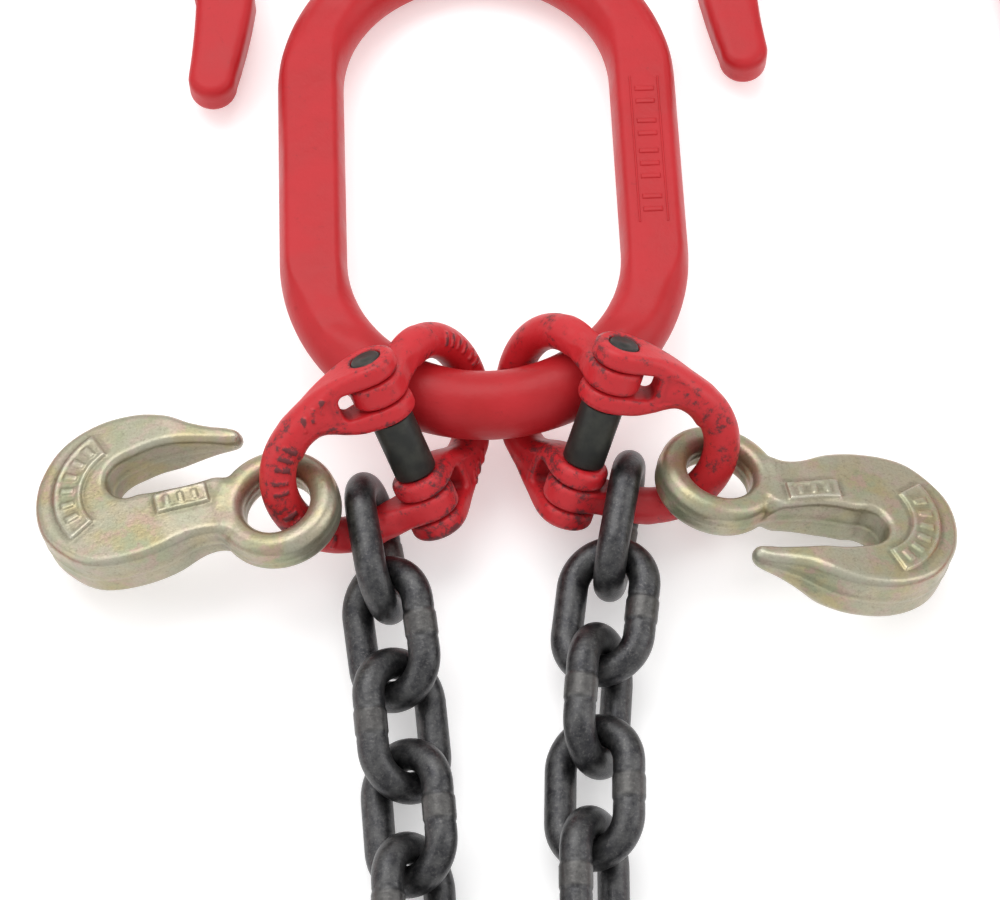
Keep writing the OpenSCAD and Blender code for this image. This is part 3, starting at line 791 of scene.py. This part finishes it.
# upper halves of the turned profiles, as radius and height
PIN_PROFILE = (
    (PIN_R, FORK_OUT - 0.9), (PIN_R - 0.6, FORK_OUT - 0.15), (PIN_R - 1.2, FORK_OUT),
    (1.9, FORK_OUT - 0.25), (1.6, FORK_OUT), (0.0, FORK_OUT))
SLEEVE_PROFILE = (
    (SLEEVE_R, SLEEVE_HALF - 0.6), (SLEEVE_R - 0.2, SLEEVE_HALF - 0.15),
    (SLEEVE_R - 0.7, SLEEVE_HALF), (BORE_R + 0.3, SLEEVE_HALF), (BORE_R, SLEEVE_HALF - 0.3))


def lathe(upper, steps=72):
    """Vertices and faces of a profile turned about z, from its upper half of (radius, height)."""
    profile = [(r, -h) for r, h in reversed(upper)] + list(upper)
    points, faces = [], []
    rows = len(profile)
    for k in range(steps):
        a = 2 * math.pi * k / steps
        points += [(r * math.cos(a), r * math.sin(a), h) for r, h in profile]
    for k in range(steps):
        n = (k + 1) % steps
        for i in range(rows):
            m = (i + 1) % rows
            faces.append((k * rows + i, n * rows + i, n * rows + m, k * rows + m))
    return points, faces


def closed(mesh):
    """Merges doubled points, drops faces without area and points the rest outwards."""
    work = bmesh.new()
    work.from_mesh(mesh)
    bmesh.ops.remove_doubles(work, verts=work.verts, dist=1e-4)
    bmesh.ops.dissolve_degenerate(work, edges=work.edges, dist=1e-5)
    bmesh.ops.recalc_face_normals(work, faces=work.faces)
    work.to_mesh(mesh)
    work.free()
    mesh.update()
    return mesh


# the add-on

def colour_setting(label, text, hex_colour):
    return FloatVectorProperty(name=label, description=text, subtype="COLOR", size=3,
                               min=0, max=1, default=linear(hex_colour)[:3])


def size_setting(label, text, size_mm, least_mm=0):
    return FloatProperty(name=label, description=text, unit="LENGTH", default=size_mm * MM,
                         min=least_mm * MM)


class BridleFinish(bpy.types.PropertyGroup):
    """Colours of the bridle's finishes."""
    enamel: colour_setting("Enamel", "Colour of the red enamel", "#aa1c21")
    forging: colour_setting("Forging", "Colour of the enamel on the coupling halves", "#bb2128")
    chain: colour_setting("Chain", "Colour of the chain's scale", "#343437")
    zinc: colour_setting("Zinc", "Colour of the plating where it is palest", "#aba596")
    oxide: colour_setting("Oxide", "Colour of the pins and sleeves", "#2d2e2c")


class BridleSizes(bpy.types.PropertyGroup):
    """Sizes of the finish that a user would change."""
    weld_height: size_setting("Weld height", "How far a link's weld stands proud", 0.26)
    pressed_half: size_setting("Half thickness of the master link",
                               "From its middle to a pressed broad side", 9.8)
    hook_cell: size_setting("Hook detail", "Grid spacing of the grab hooks' surface", 0.55, 0.3)
    coupling_cell: size_setting("Coupling detail", "Grid spacing of the couplings' surface",
                                0.45, 0.3)
    j_cell: size_setting("J-hook detail", "Grid spacing of the J-hooks' surface", 1.3, 0.6)


FINISHES = {
    "enamel": ("Baked red enamel", make_red_enamel),
    "forging": ("Baked red enamel on a worn forging", make_worn_enamel),
    "chain": ("Quenched and tempered chain steel", make_chain_steel),
    "zinc": ("Yellow chromate zinc plating", make_yellow_zinc),
    "oxide": ("Black oxide steel", make_black_oxide),
}


def finish_of(kind):
    """The material of a kind of piece, made once."""
    name, make = FINISHES[kind]
    colour = [*getattr(bpy.context.scene.bridle_finish, kind), 1.0]
    return bpy.data.materials.get(name) or make(name, colour)


def ring_tree():
    return bpy.data.node_groups.get(RING_TREE) or stock_ring_tree()


class BRIDLE_OT_master_link(bpy.types.Operator):
    """Sweep the pressed master link and its plain raised bars"""
    bl_idname = "bridle.master_link"
    bl_label = "Master link"

    def execute(self, context):
        half = context.scene.bridle_sizes.pressed_half / MM
        mesh = mesh_from_tree(ring_tree(), {
            "Inside length": MASTER_LENGTH + TOP_REACH, "Inside width": MASTER_WIDTH,
            "Stock diameter": MASTER_STOCK, "Weld height": 0.0, "Weld length": 1.0,
            "Half thickness": half, "Pressed length": PRESSED_TO + TOP_REACH / 2,
            "Steps": 320, "Sides": 56, "Material": finish_of("enamel")})
        middle, along, normal = ring_frame("master_link")
        if along[1] < 0:
            along = -along
        if normal[2] < 0:
            normal = -normal
        shifted = middle + along * TOP_REACH / 2 * MM
        piece_from("master_link_pressed", mesh, placed(shifted, along, normal), "master_link",
                   "red_enamel", "master_link")

        def field(x, y, z):
            height = np.abs(z - half + MASTER_BARS_SUNK) - MASTER_BARS_HALF
            return rounded(bar_plan(x, y, MASTER_BARS), height, MASTER_BARS_EDGE)
        points, faces = skin_of(field, (-30, -62, half - 1.6), (34, -49, half + 1.2), 0.35)
        mesh = mesh_from("raised_bars", points, faces, finish_of("enamel"))
        piece_from("master_link_raised_bars", mesh, placed(middle, along, normal),
                   "master_link", "red_enamel")
        return {"FINISHED"}


class BRIDLE_OT_coupling_halves(bpy.types.Operator):
    """Forge the four coupling halves"""
    bl_idname = "bridle.coupling_halves"
    bl_label = "Coupling halves"

    def execute(self, context):
        cell = context.scene.bridle_sizes.coupling_cell / MM
        points, faces = skin_of(coupling_field, *COUPLING_BOX, cell)
        curve = bend_of(coupling_body, points, 1.6)
        # the hollow values mark where the worn enamel gets painted shade
        values = {"wear": np.clip(curve * 3.0, 0, 1), "hollow_shade": np.clip(-curve * 5.0, 0, 1)}
        mesh = mesh_from("coupling_half", points, faces, finish_of("forging"), values)
        for side in SIDES:
            for which in ("master", "chain"):
                node = f"{side}_{which}_half"
                piece_from(node + "_forging", mesh, placed(*coupling_frame(node, side)), node,
                           "red_enamel", node)
        return {"FINISHED"}


class BRIDLE_OT_pins_and_sleeves(bpy.types.Operator):
    """Turn the load pins and their sleeves"""
    bl_idname = "bridle.pins_and_sleeves"
    bl_label = "Pins and sleeves"

    def execute(self, context):
        pin = closed(mesh_from("load_pin", *lathe(PIN_PROFILE), finish_of("oxide")))
        sleeve = closed(mesh_from("sleeve", *lathe(SLEEVE_PROFILE), finish_of("oxide")))
        for side in SIDES:
            centre, along, normal = coupling_frame(f"{side}_chain_half", side)
            matrix = placed(centre, along, np.cross(normal, along))
            piece_from(f"{side}_load_pin_turned", pin, matrix, f"{side}_master_half",
                       "dark_steel", f"{side}_load_pin")
            piece_from(f"{side}_sleeve_turned", sleeve, matrix, f"{side}_sleeve",
                       "dark_steel", f"{side}_sleeve")
        return {"FINISHED"}


class BRIDLE_OT_grab_hooks(bpy.types.Operator):
    """Forge the two eye grab hooks"""
    bl_idname = "bridle.grab_hooks"
    bl_label = "Grab hooks"

    def execute(self, context):
        cell = context.scene.bridle_sizes.hook_cell / MM
        points, faces = skin_of(hook_field, *HOOK_BOX, cell)
        curve = bend_of(hook_field, points, 2.0)
        # the rim values mark where the zinc gets a painted highlight, the hollow values where it gets painted
        # shade
        values = {"rim_highlight": np.clip(curve * 2.6 - 0.25, 0, 1), "hollow_shade": np.clip(-curve * 5.0, 0, 1)}
        mesh = mesh_from("grab_hook", points, faces, finish_of("zinc"), values)
        for side in SIDES:
            body = f"{side}_grab_hook"
            piece_from(body + "_forging", mesh, placed(*hook_frame(side)), body,
                       "zinc_yellow", body)
        return {"FINISHED"}


class BRIDLE_OT_chain_legs(bpy.types.Operator):
    """Bend and weld every link of the two legs"""
    bl_idname = "bridle.chain_legs"
    bl_label = "Chain legs"

    def execute(self, context):
        mesh = mesh_from_tree(ring_tree(), {
            "Inside length": 2 * (LINK_STRAIGHT + LINK_CROWN - WIRE_R),
            "Inside width": 2 * (LINK_CROWN - WIRE_R), "Stock diameter": 2 * WIRE_R,
            "Weld height": context.scene.bridle_sizes.weld_height / MM, "Weld length": 7.4,
            "Half thickness": NOT_PRESSED, "Pressed length": 1.0, "Steps": 200, "Sides": 32,
            "Material": finish_of("chain")})
        for node in sorted(frame["nodes"]):
            if "_link_" in node:
                piece_from(node + "_welded", mesh, placed(*ring_frame(node)), node,
                           "chain_steel", node)
        return {"FINISHED"}


class BRIDLE_OT_j_hooks(bpy.types.Operator):
    """Forge the two long J-hooks"""
    bl_idname = "bridle.j_hooks"
    bl_label = "J-hooks"

    def execute(self, context):
        cell = context.scene.bridle_sizes.j_cell / MM
        points, faces = skin_of(j_hook_field, *J_BOX, cell)
        curve = bend_of(j_hook_field, points, 2.0)
        # the hollow values mark painted shade; the plain enamel on the J-hooks does not read them
        values = {"wear": np.clip(curve * 2.0 - 0.2, 0, 1), "hollow_shade": np.clip(-curve * 4.0, 0, 1)}
        mesh = mesh_from("j_hook", points, faces, finish_of("enamel"), values)
        for side in SIDES:
            body = f"{side}_j_hook"
            piece_from(body + "_forging", mesh, placed(*j_hook_frame(side)), body,
                       "red_enamel", body)
        return {"FINISHED"}


# the camera, in metres, degrees and pixels
VIEW_TARGET = Vector((0.0065, -0.08935, 0.0))
VIEW_DISTANCE, VIEW_ELEVATION, FOCAL_PX, FRAME_WIDTH_PX = 1.1, 67.0, 3377.0, 1000
# the paper floor: half its width, how far it lies below the piece, how much it glows
FLOOR_HALF, FLOOR_DROP, FLOOR_GLOW = 6.0, 0.0008, 0.3
# how bright the room is to all but the camera
ROOM_LIGHT = 0.86
# lamps: place, width and height in metres, and watts
LAMPS = (
    ("overhead softbox", (-0.25, 0.55, 1.25), (1.3, 0.9), 9.5),
    ("left softbox", (-1.15, -0.35, 0.8), (0.8, 1.2), 2.6),
    ("right strip", (1.15, -0.1, 0.8), (0.6, 1.2), 3.6))
LAMPS_AIM = Vector((0, -0.1, 0.02))


class BRIDLE_OT_stage(bpy.types.Operator):
    """Lay the pale floor, hang the soft lights and set up the camera"""
    bl_idname = "bridle.stage"
    bl_label = "Stage"

    def execute(self, context):
        scene = context.scene
        made, _, shader, _ = start_material("Matt white paper")
        shader.inputs["Base Color"].default_value = linear("#f7f7f7")
        shader.inputs["Roughness"].default_value = 0.9
        shader.inputs["Specular IOR Level"].default_value = 0.1
        shader.inputs["Emission Color"].default_value = linear("#ffffff")
        shader.inputs["Emission Strength"].default_value = FLOOR_GLOW
        mesh = bpy.data.meshes.new("floor")
        w = FLOOR_HALF
        mesh.from_pydata([(-w, -w, 0), (w, -w, 0), (w, w, 0), (-w, w, 0)], [], [(0, 1, 2, 3)])
        mesh.materials.append(made)
        floor = bpy.data.objects.new("floor", mesh)
        floor.location.z = -FLOOR_DROP
        scene.collection.objects.link(floor)
        world = bpy.data.worlds.new("Soft white room")
        world.use_nodes = True
        tree = world.node_tree
        tree.nodes.clear()
        seen = add(tree, "ShaderNodeLightPath").outputs["Is Camera Ray"]
        level = add(tree, "ShaderNodeMix", {0: seen, 2: ROOM_LIGHT, 3: 1.0}, data_type="FLOAT")
        sky = add(tree, "ShaderNodeBackground", {
            "Color": linear("#ffffff"), "Strength": level.outputs[0]})
        add(tree, "ShaderNodeOutputWorld", {"Surface": sky.outputs[0]})
        scene.world = world
        for name, place, size, watts in LAMPS:
            lamp = bpy.data.lights.new(name, "AREA")
            lamp.shape = "RECTANGLE"
            lamp.size, lamp.size_y = size
            lamp.energy = watts
            holder = bpy.data.objects.new(name, lamp)
            holder.location = place
            aim = LAMPS_AIM - Vector(place)
            holder.rotation_euler = aim.to_track_quat("-Z", "Y").to_euler()
            scene.collection.objects.link(holder)
        camera = bpy.data.cameras.new("camera")
        camera.sensor_fit = "HORIZONTAL"
        camera.sensor_width = 36.0
        camera.lens = FOCAL_PX / FRAME_WIDTH_PX * camera.sensor_width
        camera.clip_start, camera.clip_end = 0.05, 50
        holder = bpy.data.objects.new("camera", camera)
        lift = math.radians(VIEW_ELEVATION)
        holder.location = VIEW_TARGET + VIEW_DISTANCE * Vector((0, -math.cos(lift), math.sin(lift)))
        holder.rotation_euler = (math.radians(90) - lift, 0, 0)
        scene.collection.objects.link(holder)
        scene.camera = holder
        scene.view_settings.view_transform = "Standard"
        return {"FINISHED"}


class BRIDLE_PT_panel(bpy.types.Panel):
    """Lists the steps that dress the bridle"""
    bl_idname = "BRIDLE_PT_panel"
    bl_label = "Tow bridle"
    bl_space_type = "VIEW_3D"
    bl_region_type = "UI"
    bl_category = "Bridle"

    def draw(self, context):
        for group in (context.scene.bridle_finish, context.scene.bridle_sizes):
            for key in group.bl_rna.properties.keys():
                if key not in ("rna_type", "name"):
                    self.layout.prop(group, key)
        for operator in OPERATORS:
            self.layout.operator(operator.bl_idname)


OPERATORS = (
    BRIDLE_OT_stage, BRIDLE_OT_master_link, BRIDLE_OT_coupling_halves, BRIDLE_OT_pins_and_sleeves,
    BRIDLE_OT_grab_hooks, BRIDLE_OT_chain_legs, BRIDLE_OT_j_hooks)
CLASSES = (BridleFinish, BridleSizes) + OPERATORS + (BRIDLE_PT_panel,)


def register():
    for each in CLASSES:
        bpy.utils.register_class(each)
    bpy.types.Scene.bridle_finish = PointerProperty(type=BridleFinish)
    bpy.types.Scene.bridle_sizes = PointerProperty(type=BridleSizes)


def unregister():
    del bpy.types.Scene.bridle_sizes
    del bpy.types.Scene.bridle_finish
    for each in reversed(CLASSES):
        bpy.utils.unregister_class(each)


def main():
    register()
    for operator in OPERATORS:
        group, name = operator.bl_idname.split(".")
        getattr(getattr(bpy.ops, group), name)()


if __name__ == "__main__":
    main()
